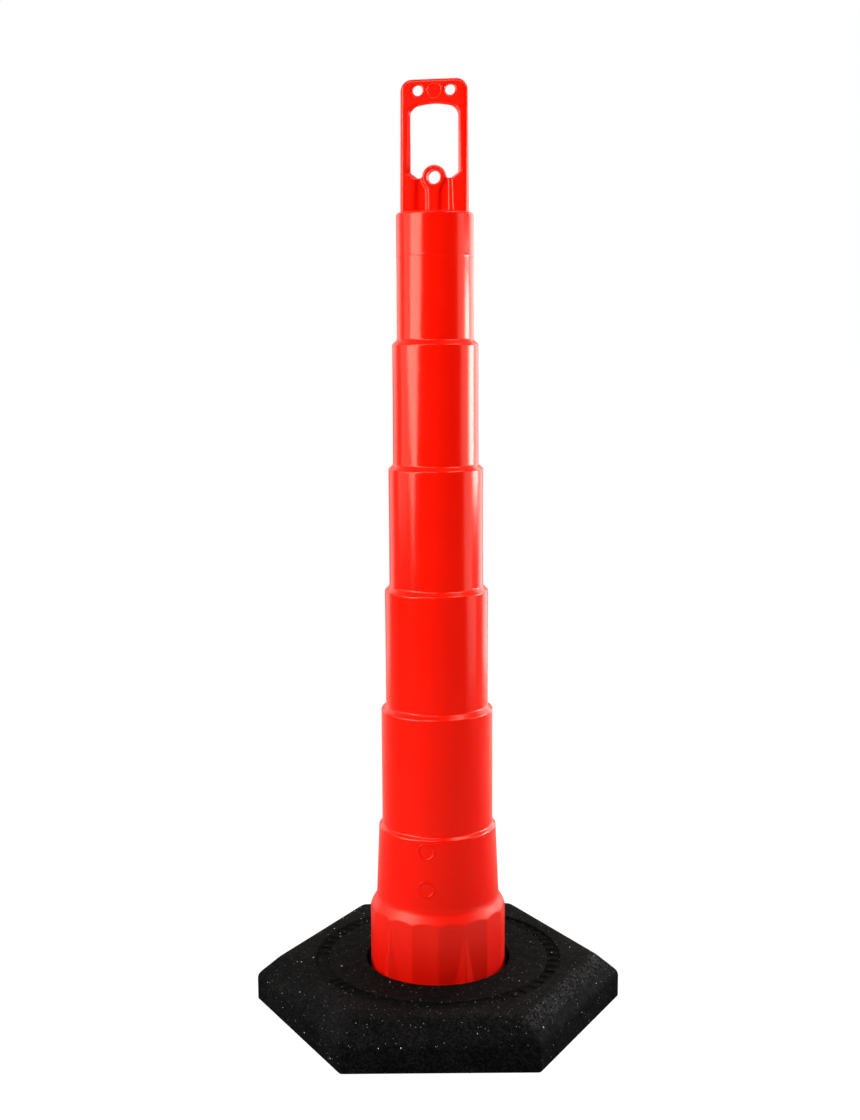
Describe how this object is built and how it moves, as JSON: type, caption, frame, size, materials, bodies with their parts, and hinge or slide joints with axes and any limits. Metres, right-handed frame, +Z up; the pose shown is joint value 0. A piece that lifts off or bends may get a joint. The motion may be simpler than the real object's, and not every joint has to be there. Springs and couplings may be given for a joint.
{
  "type": "delineator post",
  "caption": "Tall stepped hollow delineator post with a flat grab handle and a faceted collar, standing in a drop-over hexagonal crumb-rubber base that lifts off over its top.",
  "frame": {"origin": "centre of the footprint on the ground, on the post's axis", "axes": "+Z up along the post; a flat side of the hexagonal base faces -Y; the post is turned 11.25 degrees clockwise seen from above, so its handle faces slightly left of -Y"},
  "size_m": [0.4636, 0.4028, 1.143],
  "materials": {
    "orange_plastic": "satin moulded polyethylene, vivid red-orange",
    "crumb_rubber": "matte recycled crumb rubber with small pale specks"
  },
  "bodies": {
    "post_body": {"post": "orange_plastic"},
    "base_body": {"rubber_base": "crumb_rubber"}
  },
  "joints": [
    {"name": "base_lift", "type": "slide", "parent": "post_body", "child": "base_body", "axis": [0, 0, 1], "range_m": [0, 1.15]}
  ]
}
